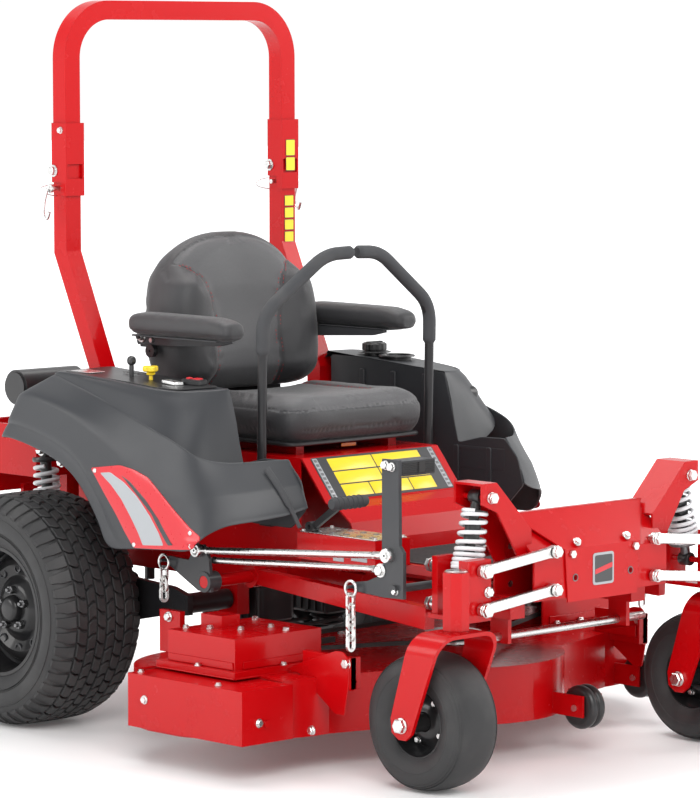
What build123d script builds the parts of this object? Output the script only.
from build123d import *
import math
import os

# Zero turn mower. Millimetres, +Z up, ground at z = 0, front at -Y, machine's right side at -X.
# The origin is on the ground, below the middle of the whole machine.
# Functions that take a side build the left (+X) piece and mirror it for the right (side = -1).

os.makedirs("parts", exist_ok=True)

# Overall
HALF_LENGTH = 1010.0
HALF_WIDTH = 785.0
TOP = 1868.0
FIT = 0.06  # running clearance between a pin and its bore

# Frame
RAIL_IN, RAIL_OUT = 190.0, 240.0
RAIL_LOW, RAIL_TOP = 380.0, 440.0
WALL = 5.0
NOSE_Y, NOSE_BACK = -934.5, -797.0

# Wheels
REAR_X, REAR_Y, REAR_R, REAR_W = 563.0, 551.0, 300.0, 288.0
CASTER_X, CASTER_Y, CASTER_R, CASTER_W = 487.0, -845.0, 165.0, 146.0
SWIVEL_Y = -921.0
AXLE_R = 8.0
SHAFT_R = 16.0

# Front suspension: one parallelogram per side
LINK_IN, LINK_OUT = 181.0, 421.0
LINK_UP_Z, LINK_LOW_Z, LINK_DROP = 548.0, 456.0, 25.0
LINK_R, LINK_T = 15.0, 14.0
LINK_FRONT_Y, LINK_REAR_Y = -953.0, -794.0
SHOCK_Y, SHOCK_TOP_X, SHOCK_TOP_Z = -859.0, 354.0, 687.0
SHOCK_LOW_X, SHOCK_LOW_Z = 395.0, 470.0

# Interfaces: two holes in the nose and the hitch hole
NOSE_HOLE_X, NOSE_HOLE_Z, NOSE_HOLE_R = 98.0, 477.0, 7.0
HITCH_Y, HITCH_R = 982.0, 9.5

# Cross shafts of the deck lift, and the arm that each bellcrank holds out
LIFT_FRONT_Y, LIFT_FRONT_Z = -737.0, 468.0
LIFT_REAR_Y, LIFT_REAR_Z = -57.0, 418.0
LIFT_ARM, HOOK_Z = 140.0, 461.0
ROD_DY, ROD_DZ = 20.0, 79.0
HOOK_X = 520.0

# Rear suspension
ARM_PIVOT_Y, ARM_PIVOT_Z = 150.0, 330.0

# Deck
CHAMBER_X, CHAMBER_Y, CENTRE_Y, CHAMBER_R = 505.0, -215.0, -430.0, 280.0
SKIRT_LOW, DECK_TOP = 90.0, 232.0
BLADE_R = 262.0
ROLLER_Y, SIDE_ROLLER_Y = -772.0, -560.0

# Engine and what shows on the consoles
ENGINE_Y = 740.0
CAP_X, CAP_Y, CUP_Y, CUP_R = 450.0, 322.0, 235.0, 40.0
KNOB_X, KNOB_Y, THROTTLE_X, THROTTLE_Y = -452.0, 205.0, -459.0, 272.0

# Seat and controls
SEAT_HALF = 250.0
BAR_X, BAR_Y, BAR_YOKE_Z, BAR_SWING_Z = 296.0, -40.0, 560.0, 620.0
ARMREST_Y, ARMREST_Z = 445.0, 993.0

# Roll bar
ROPS_IN, ROPS_OUT, ROPS_Y, ROPS_SPLIT = 357.0, 407.0, 592.0, 1440.0
FOLD_Y, FOLD_Z = 634.0, 1424.0
LOCK_Y, LOCK_Z = 620.0, 1379.0


def block(x0, x1, y0, y1, z0, z1):
    return Pos((x0 + x1) / 2, (y0 + y1) / 2, (z0 + z1) / 2) * Box(x1 - x0, y1 - y0, z1 - z0)


def rod(axis, x, y, z, radius, length):
    turns = {"x": Rot(0, 90, 0), "y": Rot(90, 0, 0), "z": Rot(0, 0, 0)}
    return Pos(x, y, z) * turns[axis] * Cylinder(radius, length)


def rod_x(x0, x1, y, z, radius):
    return rod("x", (x0 + x1) / 2, y, z, radius, x1 - x0)


def rod_y(y0, y1, x, z, radius):
    return rod("y", x, (y0 + y1) / 2, z, radius, y1 - y0)


def rod_z(z0, z1, x, y, radius):
    return rod("z", x, y, (z0 + z1) / 2, radius, z1 - z0)


def prism_x(points, x0, x1):
    """A plate with a YZ outline."""
    wire = Polyline([(x0, y, z) for y, z in points], close=True)
    return extrude(make_face(wire), amount=x1 - x0, dir=(1, 0, 0))


def prism_y(points, y0, y1):
    """A plate with an XZ outline."""
    wire = Polyline([(x, y0, z) for x, z in points], close=True)
    return extrude(make_face(wire), amount=y1 - y0, dir=(0, 1, 0))


def prism_z(points, z0, z1):
    """A plate with an XY outline."""
    wire = Polyline([(x, y, z0) for x, y in points], close=True)
    return extrude(make_face(wire), amount=z1 - z0, dir=(0, 0, 1))


def tube(points, radius, bends):
    """A round bar along straight runs joined by arcs."""
    path = FilletPolyline(*points, radius=bends)
    start = Plane(origin=path @ 0, z_dir=path % 0)
    return sweep(start * Circle(radius), path=path)


def hex_bolt(axis, x, y, z, across, height):
    turns = {"x": Rot(0, 90, 0), "y": Rot(90, 0, 0), "z": Rot(0, 0, 0)}
    head = extrude(RegularPolygon(across / 2, 6), amount=height / 2, both=True)
    return Pos(x, y, z) * turns[axis] * head


def turned_x(profile, x, y, z):
    """A body turned about an X axis through (x, y, z), from an outline of (distance along X, radius) points."""
    face = make_face(Polyline([(a, r, 0) for a, r in profile], close=True))
    return Pos(x, y, z) * revolve(face, Axis.X, 360)


def sided(shape, side):
    return shape if side > 0 else mirror(shape, about=Plane.YZ)


def both(shape):
    return [shape, mirror(shape, about=Plane.YZ)]


def clear_of(a, b):
    p, q = a.bounding_box(), b.bounding_box()
    pairs = ((p.min.X, p.max.X, q.min.X, q.max.X), (p.min.Y, p.max.Y, q.min.Y, q.max.Y),
             (p.min.Z, p.max.Z, q.min.Z, q.max.Z))
    return any(high < other_low or low > other_high for low, high, other_low, other_high in pairs)


def butted(members):
    """Welded members in order, each cut back to the ones before it."""
    placed = []
    for member in members:
        for other in placed:
            if not clear_of(member, other):
                member -= other
        placed += member.solids()
    return placed


def sliced(shape, stations):
    """The shape parted across X at the stations."""
    parts = []
    for a, b in zip(stations, stations[1:]):
        parts += (shape & block(a, b, -900, 900, 0, 700)).solids()
    return parts


def save(name, *solids):
    pieces = [piece for shape in solids for piece in shape.solids()]
    whole = pieces[0] if len(pieces) == 1 else Compound(children=pieces)
    export_step(whole, f"parts/{name}.step")


def save_sides(name, make):
    save(f"{name}_left", *[sided(shape, 1) for shape in make()])
    save(f"{name}_right", *[sided(shape, -1) for shape in make()])


# ---- chassis ----------------------------------------------------------------------------------------------------


def rail():
    outer = block(RAIL_IN, RAIL_OUT, NOSE_BACK, 890, RAIL_LOW, RAIL_TOP)
    inner = block(RAIL_IN + WALL, RAIL_OUT - WALL, NOSE_BACK, 885, RAIL_LOW + WALL, RAIL_TOP - WALL)
    return outer - inner


def cross_member():
    """Closed box across the front, with its top sloping up to the rear under the nose cover."""
    profile = [(NOSE_Y, 430), (NOSE_Y, 536), (-860, 612), (NOSE_BACK, 612), (NOSE_BACK, 430)]
    inside = [(NOSE_Y + 6, 436), (NOSE_Y + 6, 533), (-857, 606), (NOSE_BACK - 6, 606), (NOSE_BACK - 6, 436)]
    box = prism_x(profile, -RAIL_OUT + 5, RAIL_OUT - 5) - prism_x(inside, -RAIL_OUT + 5, RAIL_OUT - 5)
    feet = block(RAIL_IN, RAIL_OUT, -860, NOSE_BACK, RAIL_LOW, 430)
    return box + both(feet)


def shock_tower():
    """Folded channel that reaches out over the shock."""
    side = [(216, 520), (216, 602), (335, 722), (384, 722), (384, 672), (332, 650), (250, 520)]
    cap = [(216, 602), (335, 722), (384, 722), (384, 716), (337, 716), (219, 596)]
    tower = prism_y(side, -906, -900) + prism_y(side, -818, -812) + prism_y(cap, -906, -812)
    pin = rod_y(-912, -806, SHOCK_TOP_X, SHOCK_TOP_Z, 7)
    return tower + pin


def rear_frame():
    """Uprights, engine plate, rear guard and the hangers of the trailing arms, left half."""
    pieces = [
        block(RAIL_IN, RAIL_OUT, 440, 490, RAIL_TOP, 620),
        block(RAIL_OUT, ROPS_IN, 440, 490, 570, 620),
        block(216, RAIL_OUT, 690, 750, RAIL_TOP, 692),
        block(216, 410, 690, 750, 684.3, 692),
        block(200, RAIL_OUT, 115, 185, 290, RAIL_LOW),
        rod_x(RAIL_OUT - 1, 300, ARM_PIVOT_Y, ARM_PIVOT_Z, 14),
        rod_x(RAIL_OUT - 1, HOOK_X - 12, LIFT_REAR_Y, LIFT_REAR_Z, SHAFT_R),
        block(RAIL_IN, RAIL_OUT, -90, -25, 395, RAIL_TOP),
    ]
    return pieces


def rear_guard():
    """Plate and bent arms behind the engine."""
    outline = [(-345, 545), (345, 545), (345, 735), (300, 745), (-300, 745), (-345, 735)]
    plate = prism_y(outline, HALF_LENGTH - 12, HALF_LENGTH)
    window = prism_y([(-200, 590), (200, 590), (200, 700), (-200, 700)], HALF_LENGTH - 13, HALF_LENGTH + 1)
    arms = block(RAIL_IN, RAIL_OUT, 880, HALF_LENGTH - 12, RAIL_LOW, RAIL_TOP)
    arms += block(RAIL_IN, RAIL_OUT, 986, HALF_LENGTH - 12, RAIL_TOP, 560)
    wings = block(325, 345, 800, HALF_LENGTH - 12, 600, 735)
    wing_feet = block(RAIL_OUT - 1, 345, 800, 830, 600, 640) + block(RAIL_IN, RAIL_OUT, 800, 830, RAIL_TOP, 640)
    tow = block(-RAIL_IN, RAIL_IN, 940, 952, 385, 435) + block(-45, 45, 950, HALF_LENGTH, 400, 410)
    tow -= rod_z(390, 420, 0, HITCH_Y, HITCH_R)
    strips = [block(-345, 345, 990, 1020, 500, 590), block(-345, 345, 990, 1020, 700, 760)]
    strips += both(block(200, 345, 990, 1020, 590, 700))
    return [(plate - window) & strip for strip in strips] + both(arms) + both(wings) + both(wing_feet) + [tow]


def frame_bores():
    """Pivot, link and lightening holes of the welded frame."""
    bores = [rod_x(-300, 300, LIFT_FRONT_Y, LIFT_FRONT_Z, 10 + FIT), rod_z(460, 490, 0, ENGINE_Y, 24)]
    bores += both(block(170, 250, NOSE_BACK, NOSE_BACK + 22, 423, RAIL_TOP + 1))
    bores += [rod_x(-300, 300, -800, 331, 10)]
    for y in (LINK_FRONT_Y + 20, NOSE_BACK):
        for z in (LINK_UP_Z, LINK_LOW_Z):
            bores += both(rod_y(y - 12, y + 12, LINK_IN, z, 8))
    return bores + both(rod_y(-945, -925, NOSE_HOLE_X, NOSE_HOLE_Z, NOSE_HOLE_R))


def main_frame():
    """Welded frame, kept as the members that it is made from."""
    members = [cross_member()] + both(rail()) + both(shock_tower())
    for piece in rear_frame():
        members += both(piece)
    members += rear_guard()
    members += [block(-RAIL_IN, RAIL_IN, y, y + 40, 385, 435) for y in (-700, -400, 120, 840)]
    for y in (-700, -400):
        members += both(block(RAIL_IN, RAIL_OUT, y, y + 40, RAIL_TOP, 480))
    members += [block(-RAIL_IN, RAIL_IN, 560, 870, 470, 480)]
    members += both(block(RAIL_IN - 10, 214, 560, 870, RAIL_TOP, 480))
    members += both(block(RAIL_IN, RAIL_OUT, -758, -716, RAIL_TOP, 479.5))
    members += both(block(205, 217, -830, -770, 316, RAIL_LOW))
    cutters = frame_bores()
    drilled = []
    for member in butted(members):
        for cutter in cutters:
            if not clear_of(member, cutter):
                member -= cutter
        drilled.append(member)
    return drilled


def nose_cover():
    """Bent plate: a face, a slope that widens upwards and a short flange."""
    face = prism_y([(-123, 419), (123, 419), (134, 548), (-134, 548)], -939.5, NOSE_Y - 1)
    top = -848.0
    rise, run = 635 - 548, top + 939.5
    length = math.hypot(rise, run)
    plane = Plane(origin=(0, -939.5, 548), x_dir=(1, 0, 0), z_dir=(0, -rise / length, run / length))
    slope = Polyline((-134, 0, 0), (134, 0, 0), (235, length, 0), (-235, length, 0), close=True)
    slope = plane * make_face(slope)
    slope = extrude(slope, amount=-4)
    flange = block(-235, 235, top - 2, top + 14, 631, 635)
    cover = face + slope + flange
    for x in (-NOSE_HOLE_X, NOSE_HOLE_X):
        cover -= rod_y(-945, -930, x, NOSE_HOLE_Z, NOSE_HOLE_R)
    return cover


def floor_pan():
    """Pan, kick panel, sloping panel in front of the seat base, and the step box on the right."""
    pan = block(-250, 250, -790, -330, 480, 484)
    lip = block(246, 250, -710, -330, 460, 480)
    kick = [(-131, 713), (-219, 609), (-268, 596), (-308, 566), (-328, 520), (-330, 484)]
    inner = [(y + 4, z - 3) for y, z in kick]
    panel = prism_x(kick + inner[::-1], -241, 241)
    box = block(-380, -262, -540, -262, 486, 552) - block(-375, -267, -535, -267, 480, 547)
    arm = block(-262, -250, -520, -300, 480, 500)
    return butted([pan] + both(lip) + [panel, box, arm])


def fender():
    """Moulded shell: a low body over the tyre with a raised console, open below and inwards."""
    low = [(-225, 735), (-150, 745), (0, 790), (200, 860), (400, 925), (462, 870), (530, 768), (520, 744)]
    low += [(450, 734), (370, 712), (253, 658), (168, 589), (119, 501), (23, 501), (-202, 501), (-311, 596)]
    high = [(-81, 700), (-15, 892), (229, 915), (400, 926), (462, 870), (462, 760)]
    skin = 6.0
    inside, outside = 383.0, 614.0
    front = [(inside, -311), (440, -300), (505, -252), (562, -200), (600, -120), (outside, -32)]
    plan = [(x, y, 400) for x, y in front + [(outside, 540), (inside, 540), (inside, -311)]]
    outer = prism_x(low, inside, outside) & extrude(make_face(Polyline(*plan)), amount=600, dir=(0, 0, 1))
    outer += prism_x(high, inside, 534)
    core_low = prism_x([(y, z - skin) for y, z in low], inside - 1, outside - skin)
    behind = [(inside - 2, -301), (438, -290), (500, -243), (554, -193), (590, -117), (outside - skin, -30)]
    behind = [(x, y, 400) for x, y in behind + [(outside - skin, 541), (inside - 2, 541), (inside - 2, -301)]]
    core_low &= extrude(make_face(Polyline(*behind)), amount=600, dir=(0, 0, 1))
    core_high = prism_x([(y + skin, z - skin) for y, z in high], inside - 1, 534 - skin)
    shell = outer - core_low - core_high - block(inside - 1, 640, -320, -100, 480, 590)
    return shell - block(inside - 1, 422, 372, 560, 600, 950)


def fender_left():
    """Console with the filler hole and a drink holder."""
    cup = rod_z(850, 930, CAP_X, CUP_Y, CUP_R + 4) & block(300, 640, -100, 500, 840, 911)
    shell = fender() + cup - rod_z(855, 960, CAP_X, CUP_Y, CUP_R)
    return [shell - rod_z(880, 960, CAP_X, CAP_Y, 30)]


def fender_right():
    """Console with the holes of the knob and of the throttle."""
    shell = sided(fender(), -1) - rod_z(880, 960, KNOB_X, KNOB_Y, 9)
    return [shell - block(THROTTLE_X - 8, THROTTLE_X + 8, THROTTLE_Y - 30, THROTTLE_Y + 30, 880, 950)]


def rops_posts():
    """Square lower posts with the bore of the fold bolt and of the lock pin."""
    path = [(440, 560), (440, 880), (592, 1215), (592, ROPS_SPLIT)]
    back = [(y + 50, z + (8 if z == 880 else 0) - (6 if z == 1215 else 0)) for y, z in path]
    post = prism_x(path + back[::-1], ROPS_IN, ROPS_OUT)
    post -= rod_x(340, 430, FOLD_Y, FOLD_Z, 6 + FIT)
    post -= rod_x(340, 430, LOCK_Y, LOCK_Z, 6 + FIT)
    return both(post)


def seat_base():
    """Folded box that carries the seat, with its slide rails."""
    top = block(-241, 241, -126.5, 395, 708, 714)
    sides = block(235, 241, -122, 395, RAIL_TOP, 708)
    back = block(-235, 235, 389, 395, 520, 708)
    base = top + both(sides) + back
    base += both(rod_x(241, 262, BAR_Y, BAR_YOKE_Z, 16)) + both(rod_x(262, 290, BAR_Y, BAR_YOKE_Z, 10))
    rails = block(150, 178, -40, 350, 714, 735)
    return [base, *both(rails)]


def engine():
    """Vertical-shaft V-twin: crankcase, finned cylinders, blower housing, screen, clutch pulley and muffler."""
    crankcase = block(-120, 120, ENGINE_Y - 100, ENGINE_Y + 90, 480, 640) + rod_z(640, 700, 0, ENGINE_Y, 165)
    housing = rod_z(700, 800, 0, ENGINE_Y, 205) + rod_z(800, 822, 0, ENGINE_Y, 130)
    pieces = [crankcase + housing]
    for side in (-1, 1):
        frame = Pos(side * 100, ENGINE_Y + 40, 580) * Rot(0, 0, -side * 35)
        barrel = frame * Box(90, 130, 96)
        for fin in range(6):
            barrel += frame * Pos(0, 12 * fin, 0) * Box(116, 5, 112)
        pieces.append(barrel - crankcase)
    pieces.append(rod_z(300, 480, 0, ENGINE_Y, 14) + rod_z(352, 378, 0, ENGINE_Y, 70))
    pieces.append(rod("x", 0, 932, 560, 48, 340))
    return pieces


def air_cleaner():
    body = rod_x(-500, -300, 690, 858, 46)
    ends = rod_x(-506, -500, 690, 858, 40) + rod_x(-300, -292, 690, 858, 40)
    duct = rod_x(-292, -206, 690, 858, 22)
    foot = block(-330, -300, 672, 708, 717, 813)
    return [body + ends + duct + foot]


def fuel_tank():
    tank = fillet(block(404, 518, -20, 356, 730, 846).edges(), 22)
    neck = rod_z(840, 932, CAP_X, CAP_Y, 27)
    return [tank + neck]


def chassis_bolts():
    """Pins of the links, the bar under the nose and the bolts that show."""
    solids = []
    for side in (-1, 1):
        for z in (LINK_UP_Z, LINK_LOW_Z):
            solids.append(rod_y(-957, NOSE_Y + 6, side * LINK_IN, z, 8) + hex_bolt("y", side * LINK_IN, -961, z, 28, 9))
            solids.append(rod_y(NOSE_BACK - 6, -776, side * LINK_IN, z, 8) + hex_bolt("y", side * LINK_IN, -772, z, 28, 9))
        solids.append(hex_bolt("y", side * SHOCK_TOP_X, -916, SHOCK_TOP_Z, 26, 8))
        solids.append(hex_bolt("y", side * 112, -945, 535, 20, 7))
    solids.append(rod_x(-300, 300, -800, 331, 10))
    return solids


def rear_springs():
    """Coil-over shock above each trailing arm."""
    low, high = (380, 700, 430), (380, 720, 684)
    length = math.dist(low, high)
    line = Plane(origin=low, z_dir=(0, high[1] - low[1], high[2] - low[2]))
    damper = line * Pos(0, 0, length / 2) * Cylinder(14, length - 2)
    coil = Helix(pitch=24, height=length - 80, radius=25)
    wire = Plane(origin=coil @ 0, z_dir=coil % 0) * Circle(4)
    spring = line * Pos(0, 0, 40) * sweep(wire, path=coil)
    return both(damper) + both(spring)


# ---- seat and controls ------------------------------------------------------------------------------------------


def seat_cushion():
    pad = block(-SEAT_HALF, SEAT_HALF, -75, 338, 762, 862)
    return [fillet(pad.edges(), 34)]


def seat_back():
    outline = [(342, 866), (330, 900), (352, 1120), (392, 1268), (452, 1262), (452, 1100), (432, 866)]
    pad = prism_x(outline, -SEAT_HALF, SEAT_HALF)
    ends = pad.faces().sort_by(Axis.X)
    return [fillet(ends[0].edges() + ends[-1].edges(), 24)]


def seat_shell():
    """Pan, slide shoes, back plate and the armrest pivots."""
    pan = block(-225, 225, -30, 440, 740, 760)
    shoes = block(146, 182, 20, 300, 735.3, 740)
    upright = block(-225, 225, 455, 467, 760, 1010) + block(-225, 225, 440, 467, 740, 780)
    ears = block(215, 262, 430, 467, 965, 1012) - block(214, 256, 429, 455, 964, 1013)
    pins = rod_x(256, 292, ARMREST_Y, ARMREST_Z, 6)
    return [pan + both(shoes) + upright + both(ears) + both(pins)]


def armrest():
    """Pad on a bent bracket that turns on the shell's pin."""
    bracket = prism_x([(425, 975), (463, 975), (463, 1011), (425, 1011)], 264, 276)
    bracket += prism_x([(90, 992), (440, 975), (440, 999), (90, 999)], 264, 276)
    bracket += block(264, 330, 90, 420, 997, 1000)
    bracket -= rod_x(260, 300, ARMREST_Y, ARMREST_Z, 6 + FIT)
    pad = fillet(block(261, 351, 37, 428, 1002, 1062).edges(), 24)
    return [bracket, pad]


def lap_bar_yoke():
    """Clevis that rocks fore and aft on the seat base and carries the bar's swing pin."""
    hub = block(264, 284, -62, -18, 538, 592) - rod_x(260, 300, BAR_Y, BAR_YOKE_Z, 10 + FIT)
    web = block(264, 316, -66, -14, 584, 594)
    ears = block(264, 316, -66, -58, 594, 640) + block(264, 316, -22, -14, 594, 640)
    return [hub + web + ears + rod_y(-66, -14, BAR_X, BAR_SWING_Z, 7)]


def lap_bar():
    """Tube that rises beside the seat, leans in and ends in a foam grip ahead of the operator."""
    lug = block(284, 308, -56, -24, 606, 660) - rod_y(-60, -20, BAR_X, BAR_SWING_Z, 7 + FIT)
    path = [(BAR_X, BAR_Y, 655), (BAR_X, -46, 1075), (95, -64, 1220), (12, -69, 1223)]
    bar = tube(path, 12, [60, 60])
    grip_path = [(BAR_X, -44.5, 973), (BAR_X, -46, 1075), (95, -64, 1220), (8, -69.3, 1223)]
    grip = tube(grip_path, 17, [60, 60]) - bar
    return [lug + bar, grip]


def brake_lever():
    """Parking brake: hub on the step box with a padded handle that points inwards."""
    hub = rod_x(-376, -352, -300, 566, 14) - rod_x(-380, -350, -300, 566, 6)
    arm = prism_x([(-310, 560), (-292, 566), (-400, 640), (-420, 632)], -370, -358)
    handle = rod_x(-400, -290, -408, 634, 12)
    return [hub + (arm - rod_x(-380, -350, -300, 566, 6 + FIT)) + handle]


def pto_knob():
    stem = rod_z(897, 925, KNOB_X, KNOB_Y, 6)
    head = rod_z(925, 939, KNOB_X, KNOB_Y, 20)
    return [stem + head]


def throttle_lever():
    y, x = THROTTLE_Y, THROTTLE_X
    blade = prism_x([(y - 6, 896), (y + 6, 896), (y + 8, 940), (y - 8, 940)], x - 3, x + 3)
    ball = rod_x(x - 7, x + 7, y, 948, 12)
    shank = prism_x([(y - 5, 870), (y + 5, 870), (y + 6, 897), (y - 6, 897)], x - 3, x + 3)
    hub = rod_x(x - 3, x + 3, y, 870, 8)
    return [blade + ball + shank + hub]


def fuel_cap():
    cap = rod_z(925, 948, CAP_X, CAP_Y, 34) - rod_z(920, 940, CAP_X, CAP_Y, 27 + FIT)
    return [cap]


# ---- roll bar ---------------------------------------------------------------------------------------------------


def rops_hoop():
    """Square tube bent into a hoop, with a bracket on each foot that wraps the post."""
    corner = 150.0
    outer = RectangleRounded(2 * ROPS_OUT, 2 * corner + 400, corner)
    inner = RectangleRounded(2 * ROPS_IN, 2 * corner + 300, corner - 50)
    hoop = extrude(outer - inner, amount=25, both=True)
    hoop = Pos(0, ROPS_Y + 25, TOP - corner - 200) * Rot(90, 0, 0) * hoop
    hoop -= block(-500, 500, 500, 700, 1000, 1660)
    legs = block(ROPS_IN, ROPS_OUT, ROPS_Y, ROPS_Y + 50, ROPS_SPLIT + 2, 1660)
    side = [(584, 1359), (584, 1549), (642, 1549), (642, 1394), (606, 1394), (606, 1359)]
    out_plate = prism_x(side, ROPS_OUT + 0.3, ROPS_OUT + 6)
    in_plate = prism_x(side, ROPS_IN - 6, ROPS_IN - 0.3)
    front = block(ROPS_IN - 6, ROPS_OUT + 6, 584, 591.7, ROPS_SPLIT + 1, 1549)
    front += block(ROPS_IN - 6, ROPS_OUT + 6, 584, 591.7, 1359, FOLD_Z - 20)
    weld = block(ROPS_IN - 6, ROPS_OUT + 6, 584, 600, 1500, 1540)
    foot = out_plate + in_plate + front + weld
    foot -= rod_x(ROPS_IN - 10, ROPS_OUT + 10, FOLD_Y, FOLD_Z, 5)
    bolt = rod_x(ROPS_IN - 10, ROPS_OUT + 10, FOLD_Y, FOLD_Z, 6)
    bolt += hex_bolt("x", ROPS_OUT + 11, FOLD_Y, FOLD_Z, 20, 9) + hex_bolt("x", ROPS_IN - 11, FOLD_Y, FOLD_Z, 20, 9)
    whole = hoop
    for piece in both(legs) + both(foot) + both(bolt):
        whole += piece
    return [whole]


def lock_pin():
    """Pin through the post, with a head ring outside."""
    pin = rod_x(ROPS_IN - 14, ROPS_OUT + 24, LOCK_Y, LOCK_Z, 6)
    head = rod_x(ROPS_OUT + 24, ROPS_OUT + 30, LOCK_Y, LOCK_Z, 11)
    return [pin + head]


# ---- front suspension, left side --------------------------------------------------------------------------------


def link_bar(z, y):
    """Flat bar with round ends."""
    centre = ((LINK_IN + LINK_OUT) / 2, z - LINK_DROP / 2)
    length = math.hypot(LINK_OUT - LINK_IN, LINK_DROP)
    slot = Rot(0, 0, -math.degrees(math.atan2(LINK_DROP, LINK_OUT - LINK_IN))) * SlotCenterToCenter(length, 2 * LINK_R)
    bar = extrude(slot, amount=LINK_T)
    bar = Pos(centre[0], y + LINK_T, centre[1]) * Rot(90, 0, 0) * bar
    bar -= rod_y(y - 1, y + LINK_T + 1, LINK_IN, z, 8 + FIT)
    return bar - rod_y(y - 1, y + LINK_T + 1, LINK_OUT, z - LINK_DROP, 8 + FIT)


def upper_link():
    return [link_bar(LINK_UP_Z, LINK_FRONT_Y), link_bar(LINK_UP_Z, LINK_REAR_Y)]


def lower_link():
    return [link_bar(LINK_LOW_Z, LINK_FRONT_Y), link_bar(LINK_LOW_Z, LINK_REAR_Y)]


def knuckle():
    """U of plates around the foot of the shock, and the octagonal spindle housing."""
    body = block(384, 462, -936, -906, 402, 548) + block(384, 456, -936, NOSE_BACK, 402, 412)
    body += block(384, 442, -816, NOSE_BACK, 402, 548) + block(396, 436, NOSE_BACK, -778, 402, 411)
    housing = Pos(486, SWIVEL_Y, 389) * extrude(RegularPolygon(33.5, 8, rotation=22.5), amount=136)
    body += housing
    body -= rod_z(380, 522, 486, SWIVEL_Y, 15 + FIT)
    body += rod_y(-906, -816, SHOCK_LOW_X, SHOCK_LOW_Z, 7)
    for z in (LINK_UP_Z - LINK_DROP, LINK_LOW_Z - LINK_DROP):
        body += rod_y(-957, -936, LINK_OUT, z, 8) + hex_bolt("y", LINK_OUT, -961, z, 28, 9)
        body += rod_y(NOSE_BACK, -776, LINK_OUT, z, 8) + hex_bolt("y", LINK_OUT, -772, z, 28, 9)
    return [body]


def radius_arm():
    """Tapered bar from the knuckle back to a bush on the rear lift tube."""
    rear, front = (335, LIFT_REAR_Y - 20, LIFT_REAR_Z), (414, -762, 392)
    along = Vector(*front) - Vector(*rear)
    thin = Plane(origin=rear, x_dir=(0, 0, 1), z_dir=along) * Rectangle(38, 28)
    thick = Plane(origin=front, x_dir=(0, 0, 1), z_dir=along) * Rectangle(54, 28)
    bar = loft([thin, thick])
    eye = rod_x(316, 354, LIFT_REAR_Y, LIFT_REAR_Z, 29)
    return [bar + eye - rod_x(300, 370, LIFT_REAR_Y, LIFT_REAR_Z, SHAFT_R + FIT)]


def front_shock():
    """Damper with a coil around it, leaning outwards towards its foot."""
    top, foot = Vector(SHOCK_TOP_X, SHOCK_Y, SHOCK_TOP_Z), Vector(SHOCK_LOW_X, SHOCK_Y, SHOCK_LOW_Z)
    length = (foot - top).length
    line = Plane(origin=foot, x_dir=(0, 1, 0), z_dir=top - foot)
    damper = line * Pos(0, 0, length / 2) * Cylinder(14, length - 20)
    damper += rod_y(-874, -844, top.X, top.Z, 14) + rod_y(-880, -838, foot.X, foot.Z, 15)
    damper -= rod_y(-900, -820, top.X, top.Z, 7 + FIT) + rod_y(-900, -820, foot.X, foot.Z, 7 + FIT)
    coil = Helix(pitch=17, height=length - 66, radius=30)
    wire = Plane(origin=coil @ 0, z_dir=coil % 0) * Circle(4.5)
    spring = line * Pos(0, 0, 36) * sweep(wire, path=coil)
    return [damper, spring]


def fork():
    """Bent strap over the caster wheel, with its spindle and axle."""
    leg_out, leg_in, top = 103.0, 93.0, 385.0
    turn = Rot(90, 0, 0)
    outer = Pos(CASTER_X, -890, 240) * turn * extrude(RectangleRounded(2 * leg_out, 290, 52), amount=120, both=True)
    inner = Pos(CASTER_X, -890, 230) * turn * extrude(RectangleRounded(2 * leg_in, 290, 44), amount=120, both=True)
    leg = [(-972, 386), (-872, 386), (-808, 178), (-812, 146), (-832, 130), (-856, 130), (-876, 146)]
    strap = (outer - inner) & prism_x(leg, 370, 600)
    axle = rod_x(CASTER_X - leg_out - 4, CASTER_X + leg_out + 4, CASTER_Y, CASTER_R, AXLE_R)
    for x in (CASTER_X - leg_out - 8, CASTER_X + leg_out + 8):
        axle += hex_bolt("x", x, CASTER_Y, CASTER_R, 30, 9)
    spindle = rod_z(top - 5, 520, 486, SWIVEL_Y, 15) + rod_z(top - 5, 388.5, 486, SWIVEL_Y, 30)
    return [strap + axle + spindle]


def caster_wheel():
    """Flat-free tyre on a rim with a long hub."""
    half = CASTER_W / 2
    tread = [(-half, 112), (-half, 140), (-half + 12, 156), (-half + 32, 163), (-20, CASTER_R), (20, CASTER_R)]
    tread += [(half - 32, 163), (half - 12, 156), (half, 140), (half, 112), (half - 12, 96), (-half + 12, 96)]
    rim = [(-88, 9 + 14), (-40, 24), (-14, 40), (-14, 84), (-58, 88), (-58, 95.5), (58, 95.5), (58, 88), (14, 84)]
    rim += [(14, 40), (40, 24), (88, 23), (88, AXLE_R + FIT), (-88, AXLE_R + FIT)]
    centre = (CASTER_X, CASTER_Y, CASTER_R)
    return [turned_x(tread, *centre), turned_x(rim, *centre)]


# ---- rear suspension, left side ---------------------------------------------------------------------------------


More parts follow.
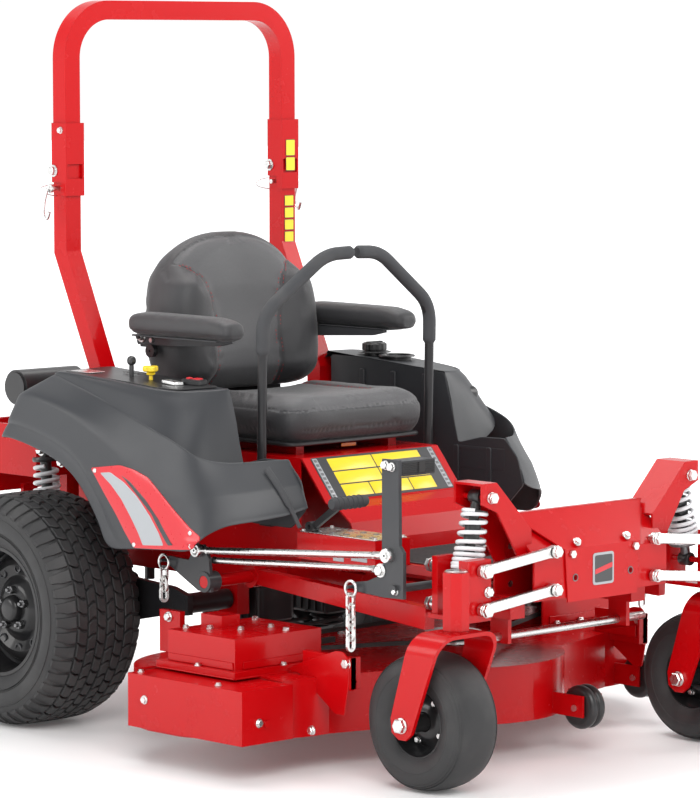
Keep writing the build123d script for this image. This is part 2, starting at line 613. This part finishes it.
def rear_arm():
    """Trailing arm with its bush, the transaxle and the axle shaft."""
    outline = [(118, 305), (118, 355), (180, 372), (480, 392), (722, 424), (742, 396), (720, 362), (640, 250)]
    outline += [(480, 240), (200, 298)]
    arm = prism_x(outline, 390, 408)
    bush = rod_x(246, 409, ARM_PIVOT_Y, ARM_PIVOT_Z, 26) - rod_x(240, 304, ARM_PIVOT_Y, ARM_PIVOT_Z, 14 + FIT)
    seat = block(362, 400, 682, 718, 404, 424)
    gearbox = fillet(block(268, 390, 462, 646, 214, 372).edges(), 16)
    pump = rod_z(372, 398, 320, 540, 34) + rod_z(398, 408, 320, 540, 60)
    shaft = rod_x(390, 632, REAR_Y, REAR_R, SHAFT_R)
    return [arm + bush + seat + gearbox + pump + shaft]


def rear_wheel():
    """Wide turf tyre on a dished steel rim."""
    half = REAR_W / 2
    tyre = [(-half, 190), (-half, 240), (-half + 10, 280), (-half + 34, 296), (-70, REAR_R), (70, REAR_R)]
    tyre += [(half - 34, 296), (half - 10, 280), (half, 240), (half, 190), (half - 18, 160), (-half + 18, 160)]
    rim = [(-126, 152), (-126, 166), (-118, 166), (-118, 159.8), (118, 159.8), (118, 166), (126, 166), (126, 152)]
    rim += [(70, 146), (62, 90), (60, 60), (80, 46), (86, 0), (74, 0), (74, SHAFT_R + FIT), (0, SHAFT_R + FIT)]
    rim += [(0, 46), (50, 56), (52, 90), (60, 140)]
    centre = (REAR_X, REAR_Y, REAR_R)
    return [turned_x(tyre, *centre), turned_x(rim, *centre)]


# ---- deck -------------------------------------------------------------------------------------------------------


def deck_outline(shrink):
    """Three chambers joined by slanted fronts and a straight back, cut flat at the discharge end."""
    radius = CHAMBER_R - shrink
    outline = Pos(0, CENTRE_Y) * Circle(radius)
    for side in (-1, 1):
        outline += Pos(side * CHAMBER_X, CHAMBER_Y) * Circle(radius)
        web = [(0, CENTRE_Y - 210 + shrink), (side * 610, -460 + shrink), (side * 610, 40 - shrink), (0, 40 - shrink)]
        outline += make_face(Polyline([(x, y, 0) for x, y in web], close=True))
    return outline - Pos(-979 + shrink, CHAMBER_Y) * Rectangle(400, 800)


def deck_shell():
    body = extrude(deck_outline(0), amount=DECK_TOP - SKIRT_LOW)
    hollow = extrude(deck_outline(5), amount=DECK_TOP - SKIRT_LOW - 5)
    shell = Pos(0, 0, SKIRT_LOW) * (body - hollow)
    for x, y in ((0, CENTRE_Y), (CHAMBER_X, CHAMBER_Y), (-CHAMBER_X, CHAMBER_Y)):
        shell += rod_z(180, 250, x, y, 44)
        shell -= rod_z(170, 260, x, y, 15)
    for piece in both(block(512, 528, 10, 88, DECK_TOP, 338)) + both(block(512, 528, -610, -440, DECK_TOP - 20, 292)):
        shell += piece
    hangers = block(80, 86, -800, -690, 96, 150) + block(144, 150, -800, -690, 96, 150)
    hangers += block(529, 535, -580, -480, 96, 150) + block(592, 598, -580, -470, 96, 150)
    hangers -= rod_x(70, 160, ROLLER_Y, 118, 8) + rod_x(520, 610, SIDE_ROLLER_Y, 118, 8)
    hangers -= Pos(0, 0, 80) * extrude(deck_outline(1), amount=140)
    shell = shell + hangers - block(-HALF_WIDTH, -620, -507, -88, 220.5, 240)
    above = shell & block(-900, 900, -900, 900, DECK_TOP - 5, 400)
    walls = sliced(shell - above, (-900, -640, -380, -250, 0, 250, 380, 640, 900))
    return sliced(above, (-900, -250, 250, 900)) + walls


def discharge_cover():
    """Bolted box on the right end of the deck, closed on top and open below."""
    box = block(-HALF_WIDTH, -620.5, -505, -90, 95, 226) - block(-HALF_WIDTH + 5, -620, -500, -95, 94, 221)
    box += block(-HALF_WIDTH, -HALF_WIDTH + 7, -505, -90, 95, 131)
    box -= Pos(0, 0, 80) * extrude(deck_outline(-0.5), amount=140.8)
    bolts = rod_y(-512, -504, -708, 141, 9) + rod_y(-91, -84, -708, 141, 9)
    return [box + bolts]


def belt_covers():
    """Folded covers over the end pulleys, each with a small raised box, and the stiffener between them."""
    cover = block(395, 680, -364, -119, 249, 325) - block(390, 675, -359, -124, 240, 321)
    foot = block(395, 700, -385, -98, DECK_TOP, 249) - block(390, 672, -356, -127, 230, 250)
    cap = block(520, 580, -205, -128, 325, 355)
    return both(cover + foot + cap)


def spindle(x, y):
    """Blade shaft with its blade and pulley."""
    shaft = rod_z(104, 296, x, y, 15 - FIT)
    pulley = rod_z(258, 262, x, y, 72) + rod_z(262, 278, x, y, 62) + rod_z(278, 282, x, y, 72)
    blade = Pos(x, y, 116) * Box(2 * BLADE_R - 20, 62, 6)
    return [shaft + pulley + blade]


def belt_path(grow):
    """Outline of a belt around the three pulleys."""
    outline = None
    points = [(-CHAMBER_X, CHAMBER_Y), (0, CENTRE_Y), (CHAMBER_X, CHAMBER_Y)]
    for x, y in points:
        disc = Pos(x, y) * Circle(62.5 + grow)
        outline = disc if outline is None else outline + disc
    for (x0, y0), (x1, y1) in zip(points, points[1:] + points[:1]):
        length = math.hypot(x1 - x0, y1 - y0)
        turn = math.degrees(math.atan2(y1 - y0, x1 - x0))
        strip = Pos((x0 + x1) / 2, (y0 + y1) / 2) * Rot(0, 0, turn) * Rectangle(length, 125 + 2 * grow)
        outline += strip
    return outline + make_face(Polyline([(x, y, 0) for x, y in points], close=True))


def deck_belt():
    return [Pos(0, 0, 265) * extrude(belt_path(8) - belt_path(0), amount=10)]


def roller(x, y):
    return [rod_x(x - 26, x + 26, y, 118, 55) - rod_x(x - 30, x + 30, y, 118, 8 + FIT)]


def chain(y_top, y_low, z_low):
    """Ring on the bellcrank's hook and oval links down to the deck's bracket."""
    wire = 3.5
    ring = Pos(HOOK_X, y_top, HOOK_Z - 4) * Rot(0, 90, 0) * Torus(18.5, wire)
    links = [ring]
    first = HOOK_Z - 4 - 18.5 - 12
    count = int((first - z_low) / 25) + 1
    for number in range(count):
        z = first - number * 25
        y = y_top + (y_low - y_top) * (number + 1) / (count + 1)
        stadium = SlotCenterToCenter(24 - 2 * wire, 20 + 2 * wire) - SlotCenterToCenter(24 - 2 * wire, 20 - 2 * wire)
        link = Rot(0, 90, 0) * extrude(stadium, amount=wire - 0.5, both=True)
        turn = 0 if number % 2 else 90
        links.append(Pos(HOOK_X, y, z) * Rot(0, 0, turn) * link)
    return links


def deck_hardware():
    """Roller bolts and the four lift chains."""
    solids = [rod_x(76, 154, ROLLER_Y, 118, 8), rod_x(525, 602, SIDE_ROLLER_Y, 118, 8)]
    for pivot, bracket_top in ((LIFT_FRONT_Y, 292), (LIFT_REAR_Y, 338)):
        y = pivot + LIFT_ARM - 3
        for piece in chain(y, y, bracket_top + 16):
            solids += both(piece)
    return solids


# ---- deck lift --------------------------------------------------------------------------------------------------


def bellcrank_front():
    """Cross shaft with a hook arm at each end, and the foot pedal on the right."""
    shaft = rod_x(-HOOK_X + 6, HOOK_X - 6, LIFT_FRONT_Y, LIFT_FRONT_Z, 10)
    arm = [(-762, 446), (-762, 492), (-600, 472), (-588, 461), (-596, 450), (-700, 444)]
    left = prism_x(arm, 495, 505)
    plate = [(-764, 446), (-764, 556), (-750, 572), (-748, 775), (-692, 775), (-692, 562), (-698, 500)]
    plate += [(-640, 478), (-600, 472), (-588, 461), (-596, 450), (-700, 444)]
    right = prism_x(plate, -505, -495)
    hooks = rod_x(494, 528, LIFT_FRONT_Y + LIFT_ARM, HOOK_Z, 4)
    pedal = block(-495, -384, -748, -696, 736, 772)
    rod_pin = rod_x(-518, -504, LIFT_FRONT_Y + ROD_DY, LIFT_FRONT_Z + ROD_DZ, 6)
    return [shaft + left + right + both(hooks) + pedal + rod_pin]


def bellcrank_rear():
    """Cross tube's outer cranks, joined by the lift rods to the front ones."""
    y, z = LIFT_REAR_Y, LIFT_REAR_Z
    plate = [(y - 24, z - 24), (y - 16, z + 60), (y + ROD_DY - 14, z + ROD_DZ + 14), (y + ROD_DY + 14, z + ROD_DZ + 12)]
    plate += [(y + 60, z + 50), (y + LIFT_ARM, HOOK_Z + 10), (y + LIFT_ARM + 9, HOOK_Z), (y + LIFT_ARM, HOOK_Z - 10)]
    plate += [(y + 24, z - 24)]
    crank = prism_x(plate, -505, -495) + rod_x(-509, -470, y, z, 26)
    crank -= rod_x(-520, -460, y, z, SHAFT_R + FIT)
    crank += rod_x(-528, -494, y + LIFT_ARM, HOOK_Z, 4)
    crank += rod_x(-509, -504, y + ROD_DY, z + ROD_DZ, 6)
    return [crank]


def lift_rod():
    """Long rod with flat eyes; its rear eye is open to the crank's pin with clearance."""
    y0, z0 = LIFT_FRONT_Y + ROD_DY, LIFT_FRONT_Z + ROD_DZ
    y1, z1 = LIFT_REAR_Y + ROD_DY, LIFT_REAR_Z + ROD_DZ
    bar = tube_line((-513, y0, z0), (-513, y1, z1), 6.5)
    eyes = rod_x(-517, -509.5, y0, z0, 14) + rod_x(-517, -509.5, y1, z1, 14)
    return [bar + eyes - rod_x(-520, -500, y0, z0, 6 + FIT) - rod_x(-520, -500, y1, z1, 6.5)]


def tube_line(start, end, radius):
    along = Vector(*end) - Vector(*start)
    plane = Plane(origin=start, z_dir=along)
    return plane * Pos(0, 0, along.length / 2) * Cylinder(radius, along.length)


def main():
    save("main_frame", *main_frame())
    save("nose_cover", nose_cover())
    save("floor_pan", *floor_pan())
    save("fender_left", *fender_left())
    save("fender_right", *fender_right())
    save("rops_posts", *rops_posts())
    save("seat_base", *seat_base())
    save("engine", *engine())
    save("air_cleaner", *air_cleaner())
    save("fuel_tank", *fuel_tank())
    save("chassis_bolts", *chassis_bolts())
    save("rear_springs", *rear_springs())
    save("seat_cushion", *seat_cushion())
    save("seat_back", *seat_back())
    save("seat_shell", *seat_shell())
    save_sides("armrest", armrest)
    save_sides("lap_bar_yoke", lap_bar_yoke)
    save_sides("lap_bar", lap_bar)
    save("brake_lever", *brake_lever())
    save("pto_knob", *pto_knob())
    save("throttle_lever", *throttle_lever())
    save("fuel_cap", *fuel_cap())
    save("rops_hoop", *rops_hoop())
    save_sides("lock_pin", lock_pin)
    save_sides("upper_link", upper_link)
    save_sides("lower_link", lower_link)
    save_sides("knuckle", knuckle)
    save_sides("radius_arm", radius_arm)
    save_sides("front_shock", front_shock)
    save_sides("fork", fork)
    save_sides("caster_wheel", caster_wheel)
    save_sides("rear_arm", rear_arm)
    save_sides("rear_wheel", rear_wheel)
    save("deck_shell", *deck_shell())
    save("discharge_cover", *discharge_cover())
    save("belt_covers", *belt_covers())
    save("spindle_centre", *spindle(0, CENTRE_Y))
    save("spindle_left", *spindle(CHAMBER_X, CHAMBER_Y))
    save("spindle_right", *spindle(-CHAMBER_X, CHAMBER_Y))
    save("deck_belt", *deck_belt())
    save("roller_centre", *roller(115, ROLLER_Y))
    save("roller_left", *roller(563.5, SIDE_ROLLER_Y))
    save("deck_hardware", *deck_hardware())
    save("bellcrank_front", *bellcrank_front())
    save("bellcrank_rear", *bellcrank_rear())
    save("lift_rod", *lift_rod())


main()
